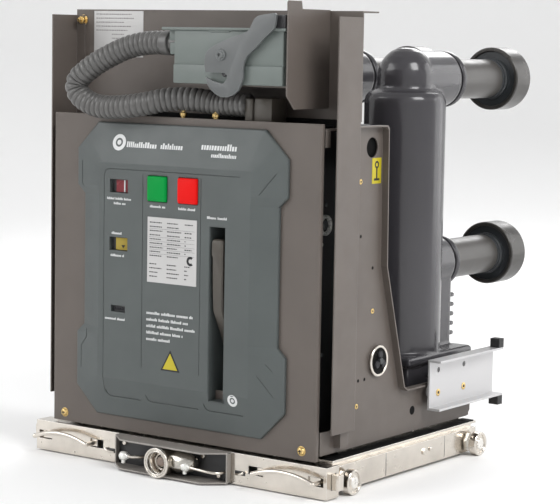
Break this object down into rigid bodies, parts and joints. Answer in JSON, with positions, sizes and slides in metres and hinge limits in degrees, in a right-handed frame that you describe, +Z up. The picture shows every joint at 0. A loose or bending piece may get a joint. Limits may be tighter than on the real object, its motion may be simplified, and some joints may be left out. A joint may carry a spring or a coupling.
{
  "type": "withdrawable medium-voltage vacuum circuit breaker",
  "caption": "Medium-voltage vacuum circuit breaker on a roller truck, with cast resin poles, tulip contacts, an operating panel, a racking crossbeam and a parked control plug.",
  "frame": {"origin": "middle of the breaker's outline on the floor it rolls on", "axes": "-Y is the operator's front, +Y points towards the contacts at the rear, +X is the operator's right, +Z is up"},
  "size_m": [0.526, 0.645, 0.637],
  "materials": {
    "taupe_paint": "satin powder coat",
    "fascia_plastic": "fine-grained moulded plastic",
    "black_paint": "satin",
    "black_plastic": "matte",
    "red_plastic": "gloss",
    "green_plastic": "gloss",
    "yellow_plastic": "matte",
    "white_label": "printed film",
    "plug_grey": "matte",
    "hose_grey": "corrugated, satin",
    "zinc_plate": "zinc plated",
    "dark_steel": "burnished",
    "epoxy": "cast epoxy, satin",
    "arm_sheath": "satin sheath",
    "polished_metal": "polished, grey",
    "silver_plate": "silver plated",
    "aluminium_rail": "extruded, white anodised",
    "black_rubber": "matte",
    "brass": "yellow-passivated"
  },
  "bodies": {
    "breaker": {"front_cover": "taupe_paint", "front_fascia": "fascia_plastic", "spring_flag": "red_plastic", "position_flag": "yellow_plastic", "operation_counter": "black_plastic", "rating_plate": "white_label", "mechanism_housing": "black_paint", "left_side_plate": "taupe_paint", "right_side_plate": "taupe_paint", "left_post": "taupe_paint", "right_post": "taupe_paint", "baffle_sheet": "taupe_paint", "plug_bracket": "taupe_paint", "plug_housing": "plug_grey", "hose_socket": "black_plastic", "control_hose": "hose_grey", "pole_tray": "taupe_paint", "left_pole": "epoxy", "middle_pole": "epoxy", "right_pole": "epoxy", "upper_arms": "arm_sheath", "lower_arms": "arm_sheath", "tulip_shrouds": "polished_metal", "tulip_contacts": "silver_plate", "left_guide_rail": "aluminium_rail", "right_guide_rail": "aluminium_rail", "rail_buffers": "black_rubber", "truck_frame": "zinc_plate", "truck_axles": "zinc_plate", "brass_screws": "brass"},
    "racking_beam": {"truck_crossbeam": "zinc_plate", "racking_bracket": "dark_steel", "racking_guide": "zinc_plate"},
    "racking_screw": {"racking_screw": "zinc_plate"},
    "left_lock": {"left_lock_handle": "zinc_plate"},
    "right_lock": {"right_lock_handle": "zinc_plate"},
    "close_button": {"close_button": "green_plastic"},
    "open_button": {"open_button": "red_plastic"},
    "charging_lever": {"charging_lever": "black_paint"},
    "plug_latch": {"plug_latch": "zinc_plate"},
    "front_left_wheel": {"front_left_wheel": "zinc_plate"},
    "front_right_wheel": {"front_right_wheel": "zinc_plate"},
    "rear_left_wheel": {"rear_left_wheel": "zinc_plate"},
    "rear_right_wheel": {"rear_right_wheel": "zinc_plate"}
  },
  "joints": [
    {"name": "racking_slide", "type": "slide", "parent": "breaker", "child": "racking_beam", "axis": [0, -1, 0], "range_m": [0, 0.2]},
    {"name": "racking_screw_turn", "type": "hinge", "parent": "racking_beam", "child": "racking_screw", "pos_m": [0, -0.2755, 0.022], "axis": [0, -1, 0], "range_deg": [0, 7200]},
    {"name": "left_lock_slide", "type": "slide", "parent": "racking_beam", "child": "left_lock", "axis": [1, 0, 0], "range_m": [0, 0.012], "stiffness_N_per_m": 300},
    {"name": "right_lock_slide", "type": "slide", "parent": "racking_beam", "child": "right_lock", "axis": [-1, 0, 0], "range_m": [0, 0.012], "stiffness_N_per_m": 300},
    {"name": "close_press", "type": "slide", "parent": "breaker", "child": "close_button", "axis": [0, 1, 0], "range_m": [0, 0.005], "stiffness_N_per_m": 400},
    {"name": "open_press", "type": "slide", "parent": "breaker", "child": "open_button", "axis": [0, 1, 0], "range_m": [0, 0.005], "stiffness_N_per_m": 400},
    {"name": "charging_stroke", "type": "hinge", "parent": "breaker", "child": "charging_lever", "pos_m": [0.077, -0.2495, 0.151], "axis": [1, 0, 0], "range_deg": [0, 70], "stiffness_Nm_per_rad": 1, "springref_deg": -28.65},
    {"name": "latch_turn", "type": "hinge", "parent": "breaker", "child": "plug_latch", "pos_m": [0.093, -0.3115, 0.567], "axis": [0, 1, 0], "range_deg": [0, 60]},
    {"name": "front_left_roll", "type": "hinge", "parent": "breaker", "child": "front_left_wheel", "pos_m": [-0.252, -0.2275, 0.017], "axis": [1, 0, 0], "continuous": true},
    {"name": "front_right_roll", "type": "hinge", "parent": "breaker", "child": "front_right_wheel", "pos_m": [0.252, -0.2275, 0.017], "axis": [1, 0, 0], "continuous": true},
    {"name": "rear_left_roll", "type": "hinge", "parent": "breaker", "child": "rear_left_wheel", "pos_m": [-0.252, 0.0965, 0.017], "axis": [1, 0, 0], "continuous": true},
    {"name": "rear_right_roll", "type": "hinge", "parent": "breaker", "child": "rear_right_wheel", "pos_m": [0.252, 0.0965, 0.017], "axis": [1, 0, 0], "continuous": true}
  ],
  "couplings": [
    {"joint": "racking_screw_turn", "follows": "racking_slide", "rad_per_m": 628.3}
  ]
}
